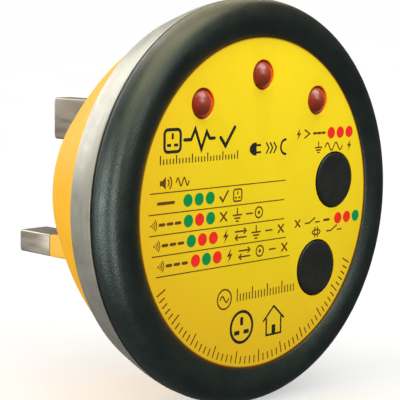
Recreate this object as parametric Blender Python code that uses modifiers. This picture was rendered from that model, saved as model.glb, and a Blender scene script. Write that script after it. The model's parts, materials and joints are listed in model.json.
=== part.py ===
"""Plug-in outlet tester for a three-pin BS 1363 socket, as an assembly of separate pieces.

Frame: the origin is the centre of the face that meets the socket, midway between the line and neutral
pins. +Y runs along the pins into the wall, -Y comes out of the label face, +Z is up (the earth pin is
at the top) and +X is on the line pin's side. Lengths below are millimetres, and MM makes them metres.
"""

import math

import bmesh
import bpy
from mathutils import Matrix, Vector

MM = 0.001
GAP = 0.3            # clearance between pieces that touch or nest
SEGMENTS = 48        # sides of a large turned piece
SMALL_SEGMENTS = 16  # sides of a small turned piece

# Pins of BS 1363: section (x, z), length from the engagement face, and centres
EARTH_SECTION = (4.05, 8.05)
EARTH_LENGTH = 22.73
LIVE_SECTION = (6.35, 4.05)
LIVE_LENGTH = 17.7
PIN_SPACING = 22.23
LIVE_X = PIN_SPACING / 2
EARTH_Z = 11.68
LIVE_Z = EARTH_Z - PIN_SPACING
PIN_POINT = 1.1      # length of the chamfered tip
SLEEVE_END = 7.9
SLEEVE_WALL = 0.55
SLEEVE_START = -2.0
HEAD_MARGIN = 2.0    # how much wider the clamped head is than its pin
HEAD_SHIFT = (0.55, 0.45)
TAG_SECTION = (3.0, 1.0)

# Stations along Y
LABEL_FRONT = -31.3
LABEL_THICK = 0.35
FRONT_WALL_FRONT = LABEL_FRONT + LABEL_THICK + GAP
FRONT_WALL_THICK = 2.0
FRONT_WALL_BACK = FRONT_WALL_FRONT + FRONT_WALL_THICK
JOINT_LINE = -20.0   # where the rear housing meets the front housing
BUMPER_REAR = -27.4
BUMPER_CREST = -32.5
PCB_FRONT = -21.6
PCB_THICK = 1.6
PCB_BACK = PCB_FRONT + PCB_THICK
FACE_THICK = 3.0     # rear wall that the pins pass through
PIN_HEAD_FRONT = -4.9
RETAINER_BACK = -5.2
RETAINER_THICK = 2.0
PIN_TAIL_END = -9.5
LEAD_RADIUS = 0.65

# Radii
FACE_RADIUS = 19.75
JOINT_RADIUS = 32.4
TONGUE_RADIUS = 30.2
TONGUE_INNER = 28.8
FRONT_INNER = 30.5
BUMPER_RADIUS = 34.5
SEAT_RADIUS = 32.6   # front housing where the bumper sits
LABEL_RADIUS = 29.4
LABEL_SEEN_RADIUS = 28.2
GROOVE_RADIUS = 32.0 # bottom of the groove that the bumper's bead snaps into
PCB_RADIUS = 28.2
RETAINER_RADIUS = 17.4

# Lamps, 5 mm with a flange, and the buttons
LAMPS = {"left": (-14.3, 17.3), "centre": (-0.1, 21.7), "right": (14.1, 17.1)}
LAMP_RADIUS = 2.5
LAMP_TIP = -32.4
LAMP_HEIGHT = 8.7
LAMP_FLANGE_RADIUS = 2.9
LAMP_HOLE = LAMP_RADIUS + GAP
LEG_PITCH = 1.27
LEG_SIDE = 0.5
LEG_END = -18.6
BUTTON_CIRCLE = 19.4
BUTTONS = {"earth_volts": math.radians(8.2), "rcd": math.radians(-40.8)}
BUTTON_RADIUS = 4.8
BUTTON_FRONT = -31.5
BUTTON_TRAVEL = 1.0
BUTTON_FLANGE_RADIUS = 6.0
BUTTON_STEM_RADIUS = 1.9
BUTTON_HOLLOW_RADIUS = 3.6
SWITCH_SIDE = 6.0
SWITCH_TOP = -25.4
PLUNGER_RADIUS = 1.7
PLUNGER_INNER_END = -24.0

# Fastener places (x, z)
POSTS = [(-11.0, 10.0), (11.0, 10.0), (0.0, -12.5)]
BOARD_BOSSES = [(6.5, 24.0), (-22.5, -10.5), (-3.0, -25.2)]
CLAMP_BOSSES = [(-14.0, 1.5), (14.0, 1.5)]
POST_RADIUS = 3.0
POST_CLEARANCE = 0.4
BOARD_BOSS_RADIUS = 2.4
CLAMP_BOSS_RADIUS = 2.6
HOUSING_SCREW_SHANK = 1.2
SMALL_SCREW_SHANK = 0.9
RECESS_RADIUS = 3.1  # well round a housing screw's head
RECESS_FLOOR = -2.0


def new_collection(name):
    collection = bpy.data.collections.new(name)
    bpy.context.scene.collection.children.link(collection)
    return collection


for leftover in list(bpy.data.objects):
    bpy.data.objects.remove(leftover)
PARTS = new_collection("outlet_tester_plug")
CUTTERS = new_collection("cutters")


def finish(name, colour, roughness, metallic=0.0, transmission=0.0):
    material = bpy.data.materials.new(name)
    material.use_nodes = True
    shader = material.node_tree.nodes["Principled BSDF"]
    shader.inputs["Base Color"].default_value = (*colour, 1.0)
    shader.inputs["Roughness"].default_value = roughness
    shader.inputs["Metallic"].default_value = metallic
    shader.inputs["Transmission Weight"].default_value = transmission
    material.diffuse_color = (*colour, 1.0)
    return material


HOUSING_YELLOW = ((0.95, 0.52, 0.03), 0.4)
SLEEVE_YELLOW = ((0.85, 0.60, 0.05), 0.45)
SILVER_GREY = ((0.55, 0.55, 0.52), 0.35, 0.3)
BLACK_RUBBER = ((0.035, 0.04, 0.038), 0.7)
LABEL_YELLOW = ((0.92, 0.65, 0.02), 0.35)
LENS_RED = ((0.45, 0.03, 0.02), 0.1, 0.0, 0.6)
BUTTON_BLACK = ((0.02, 0.02, 0.02), 0.45)
PIN_BRASS = ((0.62, 0.55, 0.42), 0.3, 1.0)
BOARD_GREEN = ((0.03, 0.22, 0.08), 0.5)
BLACK_EPOXY = ((0.02, 0.02, 0.022), 0.55)
STEEL = ((0.62, 0.62, 0.63), 0.3, 1.0)
NATURAL_NYLON = ((0.75, 0.72, 0.62), 0.5)


def place(obj, name, looks, centre=(0, 0, 0), collection=None):
    obj.name = name
    if looks:
        obj.data.materials.append(finish(name, *looks))
    obj.location = Vector(centre) * MM
    (collection or PARTS).objects.link(obj)
    return obj


def as_cutter(obj):
    obj.hide_render = True
    obj.display_type = "WIRE"
    return obj


def boolean(target, tool, operation):
    modifier = target.modifiers.new(f"{operation.lower()}_{tool.name}", "BOOLEAN")
    modifier.operation = operation
    modifier.solver = "EXACT"
    modifier.object = tool


def cut(target, *tools):
    for tool in tools:
        boolean(target, tool, "DIFFERENCE")


def join(target, *tools):
    for tool in tools:
        boolean(target, tool, "UNION")


def bevel(obj, width, segments=1, angle=50):
    modifier = obj.modifiers.new("edge_radius", "BEVEL")
    modifier.width = width * MM
    modifier.segments = segments
    modifier.limit_method = "ANGLE"
    modifier.angle_limit = math.radians(angle)


def box_mesh(name, boxes):
    """Boxes given as (size, centre) pairs in one mesh."""
    mesh = bpy.data.meshes.new(name)
    shape = bmesh.new()
    for size, centre in boxes:
        matrix = Matrix.Translation(Vector(centre) * MM) @ Matrix.Diagonal((*(Vector(size) * MM), 1.0))
        bmesh.ops.create_cube(shape, size=1.0, matrix=matrix)
    shape.to_mesh(mesh)
    shape.free()
    return mesh


def box(name, looks, size, centre, edge=0.0):
    obj = bpy.data.objects.new(name, box_mesh(name, [(size, (0, 0, 0))]))
    place(obj, name, looks, centre)
    if edge:
        bevel(obj, edge)
    return obj


def box_set(name, boxes):
    """Several separate boxes as one tool."""
    obj = bpy.data.objects.new(name, box_mesh(name, boxes))
    return as_cutter(place(obj, name, None, collection=CUTTERS))


def rod_set(name, rods, sides=SMALL_SEGMENTS):
    """Rods along Y as one tool. Each is (x, z, radius, y low, y high)."""
    mesh = bpy.data.meshes.new(name)
    shape = bmesh.new()
    upright = Matrix.Rotation(math.radians(90), 4, "X")
    for x, z, radius, low, high in rods:
        middle = Matrix.Translation(Vector((x, (low + high) / 2, z)) * MM)
        bmesh.ops.create_cone(
            shape, cap_ends=True, segments=sides, radius1=radius * MM, radius2=radius * MM,
            depth=(high - low) * MM, matrix=middle @ upright)
    shape.to_mesh(mesh)
    shape.free()
    obj = bpy.data.objects.new(name, mesh)
    return as_cutter(place(obj, name, None, collection=CUTTERS))


def lathe(name, looks, profile, centre=(0, 0, 0), segments=SMALL_SEGMENTS, closed=False):
    """Turns (radius, y) points about an axis along Y. The points run from the high-y end down the outside.

    An open profile starts and ends on the axis. A closed one is the section of a ring.
    """
    mesh = bpy.data.meshes.new(name)
    points = [(radius * MM, 0.0, y * MM) for radius, y in profile]
    edges = [(i, i + 1) for i in range(len(points) - 1)]
    if closed:
        edges.append((len(points) - 1, 0))
    mesh.from_pydata(points, edges, [])
    obj = bpy.data.objects.new(name, mesh)
    place(obj, name, looks, centre)
    obj.rotation_euler = (math.radians(-90), 0, 0)
    screw = obj.modifiers.new("turn", "SCREW")
    screw.steps = segments
    screw.render_steps = segments
    screw.use_merge_vertices = True
    screw.merge_threshold = 0.00001
    screw.use_smooth_shade = True
    return obj


def wire(name, looks, points, radius, radii=None):
    """A round bar along points, with filled ends. radii scale the bar's radius at each point."""
    data = bpy.data.curves.new(name, "CURVE")
    data.dimensions = "3D"
    data.bevel_depth = radius * MM
    data.bevel_resolution = 2
    data.use_fill_caps = True
    spline = data.splines.new("POLY")
    spline.points.add(len(points) - 1)
    for i, point in enumerate(points):
        spline.points[i].co = (*(Vector(point) * MM), 1.0)
        spline.points[i].radius = radii[i] if radii else 1.0
    return place(bpy.data.objects.new(name, data), name, looks)


def smooth_path(points, steps):
    """Points of a Catmull-Rom curve through the given points."""
    ends = [2 * Vector(points[0]) - Vector(points[1])]
    ends += [Vector(p) for p in points]
    ends += [2 * Vector(points[-1]) - Vector(points[-2])]
    path = []
    for i in range(1, len(ends) - 2):
        a, b, c, d = ends[i - 1:i + 3]
        for k in range(steps):
            t = k / steps
            path.append(0.5 * (2 * b + (c - a) * t + (2 * a - 5 * b + 4 * c - d) * t * t
                               + (3 * b - a - 3 * c + d) * t ** 3))
    return path + [Vector(points[-1])]


def smooth_profile(points, steps=2):
    return [(p.x, p.y) for p in smooth_path([(r, y, 0.0) for r, y in points], steps)]


def button_place(name):
    angle = BUTTONS[name]
    return BUTTON_CIRCLE * math.cos(angle), BUTTON_CIRCLE * math.sin(angle)


# Housings, bumper and label

def make_rear_housing():
    outside = [(0.0, 0.0), (FACE_RADIUS, 0.0), (20.1, -0.15), (20.35, -0.6)]
    outside += smooth_profile([(24.4, -6.3), (28.35, -12.4), (31.85, -18.85)])
    outside += [(JOINT_RADIUS, -19.7), (JOINT_RADIUS - 0.2, JOINT_LINE)]
    tongue = [(TONGUE_RADIUS, JOINT_LINE), (TONGUE_RADIUS, -22.0), (TONGUE_RADIUS - 0.2, -22.2),
              (TONGUE_INNER, -22.2), (TONGUE_INNER, -19.0)]
    inside = [(28.2, -17.2), (26.3, -12.8), (23.0, -6.8), (20.2, -FACE_THICK), (0.0, -FACE_THICK)]
    housing = lathe("rear_housing", HOUSING_YELLOW, outside + tongue + inside, segments=SEGMENTS)
    bosses = [(x, z, CLAMP_BOSS_RADIUS, PIN_HEAD_FRONT, -FACE_THICK + 0.5) for x, z in CLAMP_BOSSES]
    join(housing, rod_set("clamp_bosses", bosses))
    slot_depth = FACE_THICK + 2.0
    slots = []
    for centre, section in pin_places():
        size = (section[0] + 2 * GAP, slot_depth * 2, section[1] + 2 * GAP)
        slots.append((size, (centre[0], 0.0, centre[1])))
    cut(housing, box_set("pin_slots", slots))
    cut(housing, rod_set("screw_recesses", [(x, z, RECESS_RADIUS, RECESS_FLOOR, 1.0) for x, z in POSTS]))
    hole = (HOUSING_SCREW_SHANK + POST_CLEARANCE, -FACE_THICK - 1.0, RECESS_FLOOR + 0.5)
    cut(housing, rod_set("screw_holes", [(x, z, *hole) for x, z in POSTS]))
    pilot = (SMALL_SCREW_SHANK + GAP, PIN_HEAD_FRONT - 1.1, PIN_HEAD_FRONT + 3.1)
    cut(housing, rod_set("clamp_screw_holes", [(x, z, *pilot) for x, z in CLAMP_BOSSES], 12))


def make_front_housing():
    top = JOINT_LINE - GAP
    groove_low, groove_high = -30.0, -28.4
    outside = [(JOINT_RADIUS - 0.1, top), (32.6, top - 0.3)]
    outside += smooth_profile([(33.2, -22.3), (33.95, -24.8), (34.4, -26.8)])
    outside += [(34.2, BUMPER_REAR + GAP), (SEAT_RADIUS, BUMPER_REAR + GAP)]
    outside += [(SEAT_RADIUS, groove_high), (GROOVE_RADIUS, groove_high - 0.3)]
    outside += [(GROOVE_RADIUS, groove_low + 0.3), (SEAT_RADIUS, groove_low)]
    outside += [(SEAT_RADIUS, FRONT_WALL_FRONT + 0.3), (SEAT_RADIUS - 0.3, FRONT_WALL_FRONT)]
    inside = [(0.0, FRONT_WALL_FRONT), (0.0, FRONT_WALL_BACK), (FRONT_INNER - 1.0, FRONT_WALL_BACK),
              (FRONT_INNER, FRONT_WALL_BACK + 1.0), (FRONT_INNER, top)]
    housing = lathe("front_housing", SILVER_GREY, outside + inside, segments=SEGMENTS, closed=True)
    root = FRONT_WALL_BACK - 0.5
    posts = [(x, z, POST_RADIUS, root, -FACE_THICK - GAP) for x, z in POSTS]
    posts += [(x, z, BOARD_BOSS_RADIUS, root, PCB_FRONT - GAP) for x, z in BOARD_BOSSES]
    join(housing, rod_set("posts", posts))
    through = (FRONT_WALL_FRONT - 1.0, FRONT_WALL_BACK + 1.0)
    cut(housing, rod_set("lamp_holes", [(x, z, LAMP_HOLE, *through) for x, z in LAMPS.values()]))
    bores = [(*button_place(name), BUTTON_RADIUS + GAP, *through) for name in BUTTONS]
    cut(housing, rod_set("button_holes", bores, 24))
    pilots = [(x, z, HOUSING_SCREW_SHANK + GAP, -15.0, 0.0) for x, z in POSTS]
    pilots += [(x, z, SMALL_SCREW_SHANK + GAP, -27.0, JOINT_LINE) for x, z in BOARD_BOSSES]
    cut(housing, rod_set("pilot_holes", pilots, 12))


def make_bumper():
    lip_low = LABEL_FRONT - GAP
    flank = [(34.25, BUMPER_REAR), (BUMPER_RADIUS, -27.8), (BUMPER_RADIUS, -28.8)]
    front = [(34.35, -29.8), (33.9, -31.1), (32.9, -32.1), (31.6, BUMPER_CREST), (30.0, -32.3),
             (LABEL_SEEN_RADIUS + 0.2, -31.8)]
    lip = [(LABEL_SEEN_RADIUS, lip_low - 0.05), (LABEL_SEEN_RADIUS + 0.15, lip_low)]
    step = [(LABEL_RADIUS + GAP, lip_low), (LABEL_RADIUS + GAP, FRONT_WALL_FRONT - GAP)]
    bore = SEAT_RADIUS + GAP
    inside = [(bore, FRONT_WALL_FRONT - GAP), (bore, -29.7), (bore - 0.5, -29.4), (bore - 0.5, -29.0),
              (bore, -28.7), (bore, BUMPER_REAR)]
    section = flank + front + lip + step + inside
    lathe("rubber_bumper", BLACK_RUBBER, section, segments=SEGMENTS, closed=True)


def make_label():
    back = LABEL_FRONT + LABEL_THICK
    disc = [(0, back), (LABEL_RADIUS, back), (LABEL_RADIUS, LABEL_FRONT), (0, LABEL_FRONT)]
    label = lathe("face_label", LABEL_YELLOW, disc, segments=SEGMENTS)
    through = (LABEL_FRONT - 1.0, back + 0.2)
    cut(label, rod_set("label_lamp_holes", [(x, z, LAMP_HOLE, *through) for x, z in LAMPS.values()]))
    bores = [(*button_place(name), BUTTON_RADIUS + GAP, *through) for name in BUTTONS]
    cut(label, rod_set("label_button_holes", bores, 24))


# Lamps and buttons

def make_lamp(side, x, z):
    base = LAMP_TIP + LAMP_HEIGHT
    dome_steps = 4
    dome_centre = LAMP_TIP + LAMP_RADIUS
    dome = []
    for i in range(dome_steps + 1):
        angle = math.radians(90 * i / dome_steps)
        dome.append((LAMP_RADIUS * math.cos(angle), dome_centre - LAMP_RADIUS * math.sin(angle)))
    dome[-1] = (0.0, LAMP_TIP)
    flange = [(0.0, 0.0), (LAMP_FLANGE_RADIUS, 0.0), (LAMP_FLANGE_RADIUS, -1.0), (LAMP_RADIUS, -1.0)]
    lens = lathe(f"led_{side}", LENS_RED, flange + [(r, y - base) for r, y in dome], (x, base, z))
    root = base - 0.4
    reach = LEG_END - root
    legs = []
    for step in (-1, 0, 1):
        centre = (x + step * LEG_PITCH, root + reach / 2, z)
        legs.append(((LEG_SIDE, reach, LEG_SIDE), centre))
    join(lens, box_set(f"led_{side}_legs", legs))
    top, bottom = PCB_FRONT - GAP, base + GAP
    bore = LAMP_FLANGE_RADIUS - 1.0
    tube = [(LAMP_FLANGE_RADIUS, top), (LAMP_FLANGE_RADIUS, bottom), (bore, bottom), (bore, top)]
    lathe(f"led_spacer_{side}", NATURAL_NYLON, tube, (x, 0, z), closed=True)


def make_button(name):
    x, z = button_place(name)
    lip = BUTTON_FRONT + 0.35
    flange_front = FRONT_WALL_BACK + GAP
    back = flange_front + 1.0
    hollow_front = flange_front - 1.4
    profile = [(0.0, back), (BUTTON_STEM_RADIUS, back), (BUTTON_STEM_RADIUS, hollow_front),
               (BUTTON_HOLLOW_RADIUS, hollow_front), (BUTTON_HOLLOW_RADIUS, back),
               (BUTTON_FLANGE_RADIUS, back), (BUTTON_FLANGE_RADIUS, flange_front),
               (BUTTON_RADIUS, flange_front), (BUTTON_RADIUS, lip),
               (BUTTON_RADIUS - 0.12, lip - 0.2), (BUTTON_RADIUS - 0.4, BUTTON_FRONT), (0.0, BUTTON_FRONT)]
    lathe(f"{name}_button", BUTTON_BLACK, [(r, y - BUTTON_FRONT) for r, y in profile],
          (x, BUTTON_FRONT, z), segments=24)
    plunger_top = back + GAP
    plunger = [(0.0, 0.0), (PLUNGER_RADIUS, 0.0), (PLUNGER_RADIUS, plunger_top - PLUNGER_INNER_END),
               (0.0, plunger_top - PLUNGER_INNER_END)]
    lathe(f"{name}_switch_plunger", NATURAL_NYLON, plunger, (x, PLUNGER_INNER_END, z), segments=12)
    bottom = PCB_FRONT - GAP
    depth = bottom - SWITCH_TOP
    body = box(f"{name}_switch_body", BLACK_EPOXY, (SWITCH_SIDE, depth, SWITCH_SIDE),
               (x, (bottom + SWITCH_TOP) / 2, z), edge=0.3)
    well = (x, z, PLUNGER_RADIUS + GAP, SWITCH_TOP - 1.0, PLUNGER_INNER_END + BUTTON_TRAVEL + GAP)
    cut(body, rod_set(f"{name}_switch_well", [well], 12))


# Pins and what holds them

def pin_places():
    live = [((side * LIVE_X, LIVE_Z), LIVE_SECTION) for side in (-1, 1)]
    return [((0.0, EARTH_Z), EARTH_SECTION), *live]


def pin_blade(name, section, start, length, centre):
    """A bar along +Y with a chamfered tip and slightly rounded long edges."""
    mesh = bpy.data.meshes.new(name)
    shape = bmesh.new()
    span = length - PIN_POINT - start
    matrix = Matrix.Translation(Vector((0, start + span / 2, 0)) * MM)
    matrix = matrix @ Matrix.Diagonal((section[0] * MM, span * MM, section[1] * MM, 1.0))
    bmesh.ops.create_cube(shape, size=1.0, matrix=matrix)
    shape.faces.ensure_lookup_table()
    tip = max(shape.faces, key=lambda face: face.calc_center_median().y)
    grown = bmesh.ops.extrude_face_region(shape, geom=[tip])
    bmesh.ops.delete(shape, geom=[tip], context="FACES_ONLY")
    point = [v for v in grown["geom"] if isinstance(v, bmesh.types.BMVert)]
    inset = 0.75
    for v in point:
        v.co.y = length * MM
        v.co.x *= 1 - 2 * inset / section[0]
        v.co.z *= 1 - 2 * inset / section[1]
    bmesh.ops.recalc_face_normals(shape, faces=shape.faces)
    shape.to_mesh(mesh)
    shape.free()
    obj = bpy.data.objects.new(name, mesh)
    place(obj, name, PIN_BRASS, (centre[0], 0, centre[1]))
    bevel(obj, 0.25, angle=35)
    return obj


def head_and_tail(name, section, centre, shift=(0.0, 0.0)):
    """The head that the retainer clamps, and the tag that the wire is soldered to.

    shift moves the head towards the plug's centre, clear of the bowl's wall.
    """
    x, z = centre
    head_back = -FACE_THICK - GAP
    head_depth = head_back - PIN_HEAD_FRONT
    head = box_set(f"{name}_head", [((section[0] + HEAD_MARGIN, head_depth, section[1] + HEAD_MARGIN),
                                     (x + shift[0], head_back - head_depth / 2, z + shift[1]))])
    tail_depth = PIN_HEAD_FRONT + 0.3 - PIN_TAIL_END
    tail = box_set(f"{name}_tail", [((TAG_SECTION[0], tail_depth, TAG_SECTION[1]),
                                     (x, PIN_TAIL_END + tail_depth / 2, z))])
    return head, tail


def make_pins():
    start = -FACE_THICK - 0.8
    earth = pin_blade("earth_pin", EARTH_SECTION, start, EARTH_LENGTH, (0.0, EARTH_Z))
    join(earth, *head_and_tail("earth_pin", EARTH_SECTION, (0.0, EARTH_Z)))
    for name, side in (("neutral", -1), ("line", 1)):
        centre = (side * LIVE_X, LIVE_Z)
        pin = pin_blade(f"{name}_pin", LIVE_SECTION, start, LIVE_LENGTH, centre)
        cut(pin, sleeve_space(name, centre))
        shift = (-side * HEAD_SHIFT[0], HEAD_SHIFT[1])
        join(pin, *head_and_tail(f"{name}_pin", LIVE_SECTION, centre, shift))
        make_sleeve(name, centre)


def sleeve_space(name, centre):
    """Takes the pin down to its neck where the sleeve covers it."""
    low, high = SLEEVE_START - GAP, SLEEVE_END + GAP
    middle = (low + high) / 2
    outer = box_set(f"{name}_sleeve_space", [((12, high - low, 12), (centre[0], middle, centre[1]))])
    neck = [side - 2 * (SLEEVE_WALL + GAP) for side in LIVE_SECTION]
    core = box_set(f"{name}_neck", [((neck[0], high - low + 4, neck[1]), (centre[0], middle, centre[1]))])
    cut(outer, core)
    return outer


def make_sleeve(name, centre):
    length = SLEEVE_END - SLEEVE_START
    middle = (SLEEVE_END + SLEEVE_START) / 2
    sleeve = box(f"{name}_sleeve", SLEEVE_YELLOW, (LIVE_SECTION[0], length, LIVE_SECTION[1]),
                 (centre[0], middle, centre[1]))
    bore = [side - 2 * SLEEVE_WALL for side in LIVE_SECTION]
    bore_size = (bore[0], length + 2, bore[1])
    cut(sleeve, box_set(f"{name}_sleeve_bore", [(bore_size, (centre[0], middle, centre[1]))]))


def make_retainer():
    front = RETAINER_BACK - RETAINER_THICK
    disc = [(0, RETAINER_BACK), (RETAINER_RADIUS, RETAINER_BACK), (RETAINER_RADIUS, front), (0, front)]
    plate = lathe("pin_retainer", NATURAL_NYLON, disc, segments=32)
    slot = (TAG_SECTION[0] + 2 * GAP, RETAINER_THICK * 4, TAG_SECTION[1] + 2 * GAP)
    slots = [(slot, (x, RETAINER_BACK, z)) for (x, z), _ in pin_places()]
    cut(plate, box_set("retainer_tag_slots", slots))
    holes = [(x, z, POST_RADIUS + POST_CLEARANCE, front - 1, RETAINER_BACK + 1) for x, z in POSTS]
    hole = SMALL_SCREW_SHANK + POST_CLEARANCE
    holes += [(x, z, hole, front - 1, RETAINER_BACK + 1) for x, z in CLAMP_BOSSES]
    cut(plate, rod_set("retainer_holes", holes))


# Screws

def make_screw(name, x, z, under_head, head_radius, head_height, shank_radius, length, points_to):
    """A pan-head screw with a cross recess. points_to is the shank's direction along Y, +1 or -1."""
    tip = under_head + points_to * length
    crown = under_head - points_to * head_height
    rim = under_head - points_to * head_height * 0.45
    profile = [(0.0, crown), (head_radius * 0.7, crown), (head_radius, rim), (head_radius, under_head),
               (shank_radius, under_head), (shank_radius, tip - points_to * 0.6), (shank_radius * 0.4, tip),
               (0.0, tip)]
    if points_to > 0:
        profile.reverse()
    screw = lathe(name, STEEL, profile, (x, 0, z), segments=12)
    depth = head_height * 0.6
    middle = crown + points_to * (depth / 2 - 0.5)
    for number, size in enumerate(((head_radius * 1.1, 0.5), (0.5, head_radius * 1.1))):
        recess = box_set(f"{name}_recess_{number}", [((size[0], depth + 1.0, size[1]), (x, middle, z))])
        cut(screw, recess)


def make_screws():
    for number, (x, z) in enumerate(POSTS, 1):
        under = RECESS_FLOOR + GAP
        make_screw(f"housing_screw_{number}", x, z, under, 2.75, 1.3, HOUSING_SCREW_SHANK, 11.5, -1)
    for number, (x, z) in enumerate(CLAMP_BOSSES, 1):
        under = RETAINER_BACK - RETAINER_THICK - GAP
        make_screw(f"retainer_screw_{number}", x, z, under, 2.0, 1.2, SMALL_SCREW_SHANK, 5.2, 1)
    for number, (x, z) in enumerate(BOARD_BOSSES, 1):
        make_screw(f"pcb_screw_{number}", x, z, PCB_BACK + GAP, 2.0, 1.2, SMALL_SCREW_SHANK, 6.5, -1)


# Circuit board and what is on it

def make_board():
    disc = [(0, PCB_BACK), (PCB_RADIUS, PCB_BACK), (PCB_RADIUS, PCB_FRONT), (0, PCB_FRONT)]
    board = lathe("main_pcb", BOARD_GREEN, disc, segments=36)
    low, high = PCB_FRONT - 1.0, PCB_BACK + 1.0
    holes = [(x, z, POST_RADIUS + POST_CLEARANCE, low, high) for x, z in POSTS]
    holes += [(x, z, SMALL_SCREW_SHANK + POST_CLEARANCE, low, high) for x, z in BOARD_BOSSES]
    cut(board, rod_set("board_post_holes", holes, 16))
    legs = [(x + step * LEG_PITCH, z, 0.6, low, high) for x, z in LAMPS.values() for step in (-1, 0, 1)]
    cut(board, rod_set("board_leg_holes", legs, 8))


def on_back(name, looks, size, x, z, edge=0.3):
    """A box-shaped component on the board's pin side. size is (x, height off the board, z)."""
    box(name, looks, size, (x, PCB_BACK + GAP + size[1] / 2, z), edge)


def axial(name, looks, x, z, radius, length, height, along_z):
    """A cylinder with wire ends that bend down to the board, as one bar of varying radius."""
    wire_radius = 0.3
    swell = radius / wire_radius
    half, bend = length / 2, 1.5
    foot = PCB_BACK + GAP
    path = [(-half - bend, foot), (-half - bend, height - 0.3), (-half - bend + 0.3, height),
            (-half - 0.05, height), (-half, height), (-half + 0.4, height),
            (half - 0.4, height), (half, height), (half + 0.05, height),
            (half + bend - 0.3, height), (half + bend, height - 0.3), (half + bend, foot)]
    radii = [1, 1, 1, 1, swell * 0.85, swell, swell, swell * 0.85, 1, 1, 1, 1]
    if along_z:
        points = [(x, y, z + along) for along, y in path]
    else:
        points = [(x + along, y, z) for along, y in path]
    wire(name, looks, points, wire_radius, radii)


def make_components():
    on_back("mains_capacitor", ((0.70, 0.45, 0.05), 0.4), (13.0, 9.5, 5.0), 0.0, 2.5, 0.5)
    on_back("trip_triac", BLACK_EPOXY, (10.0, 8.6, 4.4), 0.0, -19.8)
    on_back("bridge_rectifier", BLACK_EPOXY, (8.0, 3.2, 6.4), 11.0, -18.5)
    box("microcontroller", BLACK_EPOXY, (9.5, 3.2, 6.3), (-12.0, PCB_FRONT - GAP - 1.6, -8.0), 0.25)
    foot = PCB_BACK + GAP
    can = [(0.0, 8.0), (2.6, 8.0), (3.15, 7.5), (3.15, 1.6), (2.9, 1.3), (3.15, 1.0), (3.15, 0.0),
           (0.0, 0.0)]
    lathe("smoothing_capacitor", ((0.03, 0.03, 0.08), 0.35), can, (-12.0, foot, -18.5))
    sounder = [(0.0, 6.2), (1.0, 6.2), (1.0, 7.2), (5.2, 7.2), (6.0, 6.4), (6.0, 0.0), (0.0, 0.0)]
    lathe("buzzer", BLACK_EPOXY, sounder, (-18.5, foot, 1.0), segments=20)
    coin = [(0.0, 1.5), (3.2, 1.5), (3.75, 1.0), (3.75, -1.0), (3.2, -1.5), (0.0, -1.5)]
    disc = lathe("varistor", ((0.05, 0.12, 0.35), 0.45), coin, (0.0, foot + 3.75, 17.2))
    disc.rotation_euler = (0, 0, 0)
    axial("load_resistor_1", ((0.45, 0.52, 0.58), 0.5), 17.5, -1.0, 2.3, 11.0, foot + 3.0, True)
    axial("load_resistor_2", ((0.45, 0.52, 0.58), 0.5), 22.8, -1.0, 2.3, 10.0, foot + 3.0, True)
    axial("fuse_link", ((0.62, 0.55, 0.42), 0.4), 0.0, -5.2, 1.5, 6.5, foot + 2.2, False)


def make_leads():
    start = PIN_TAIL_END - GAP
    end = PCB_BACK + GAP
    earth_route = [(0, start, EARTH_Z), (-0.3, -12.5, EARTH_Z - 0.5), (-1.6, -16.0, 9.4), (-2.0, end, 9.0)]
    wire("earth_lead", ((0.10, 0.45, 0.08), 0.5), smooth_path(earth_route, 3), LEAD_RADIUS)
    for name, side, colour in (("neutral_lead", -1, (0.03, 0.12, 0.55)),
                               ("line_lead", 1, (0.25, 0.10, 0.04))):
        route = [(side * LIVE_X, start, LIVE_Z), (side * LIVE_X, -12.5, LIVE_Z + 0.4),
                 (side * 9.6, -16.0, -7.6), (side * 9.2, end, -7.0)]
        wire(name, (colour, 0.5), smooth_path(route, 3), LEAD_RADIUS)


make_rear_housing()
make_front_housing()
make_bumper()
make_label()
for lamp_side, (lamp_x, lamp_z) in LAMPS.items():
    make_lamp(lamp_side, lamp_x, lamp_z)
for button_name in BUTTONS:
    make_button(button_name)
make_pins()
make_retainer()
make_screws()
make_board()
make_components()
make_leads()
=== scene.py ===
"""Looks of the outlet tester plug: housings, bumper, printed label, lamps, buttons and pins on the CAD frame.

The frame is the CAD's: the origin is the centre of the socket face, +Y runs along the pins, -Y comes out
of the label, +Z is up. Lengths in the helpers are millimetres, and MM makes them metres.
"""

import json
import math

import bmesh
import bpy
from mathutils import Matrix, Vector


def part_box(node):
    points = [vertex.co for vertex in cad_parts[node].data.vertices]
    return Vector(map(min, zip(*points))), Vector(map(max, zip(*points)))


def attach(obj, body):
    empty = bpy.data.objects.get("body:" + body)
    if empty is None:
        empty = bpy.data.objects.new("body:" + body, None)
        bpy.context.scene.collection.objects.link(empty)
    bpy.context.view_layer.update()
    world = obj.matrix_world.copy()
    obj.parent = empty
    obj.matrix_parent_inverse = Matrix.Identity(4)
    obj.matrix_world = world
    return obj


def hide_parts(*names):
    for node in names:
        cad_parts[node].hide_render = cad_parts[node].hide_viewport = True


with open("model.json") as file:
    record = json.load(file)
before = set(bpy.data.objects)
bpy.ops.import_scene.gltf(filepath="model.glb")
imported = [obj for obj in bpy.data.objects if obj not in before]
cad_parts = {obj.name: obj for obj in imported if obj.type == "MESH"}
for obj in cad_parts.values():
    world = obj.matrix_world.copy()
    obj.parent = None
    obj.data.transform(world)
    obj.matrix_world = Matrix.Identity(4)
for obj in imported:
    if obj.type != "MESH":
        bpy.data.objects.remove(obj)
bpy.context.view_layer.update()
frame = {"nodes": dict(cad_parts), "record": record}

MM = 0.001
FINE = 192                # sides of a large turned piece
ROUND = 96                # sides of a lamp or a button
MEDIUM = 64               # sides of a hole, a post or a recess
SMALL = 48                # sides of a screw or a lamp's cup
TINY = 24                 # sides of a screw's pilot hole
CORNER_STEPS = 4          # segments of a rounded corner
SHARP = math.radians(35)  # edges that turn by more stay crisp
WELD = 0.005 * MM         # corners closer than this are one corner


# Places and sizes, mostly from the CAD nodes

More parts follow.
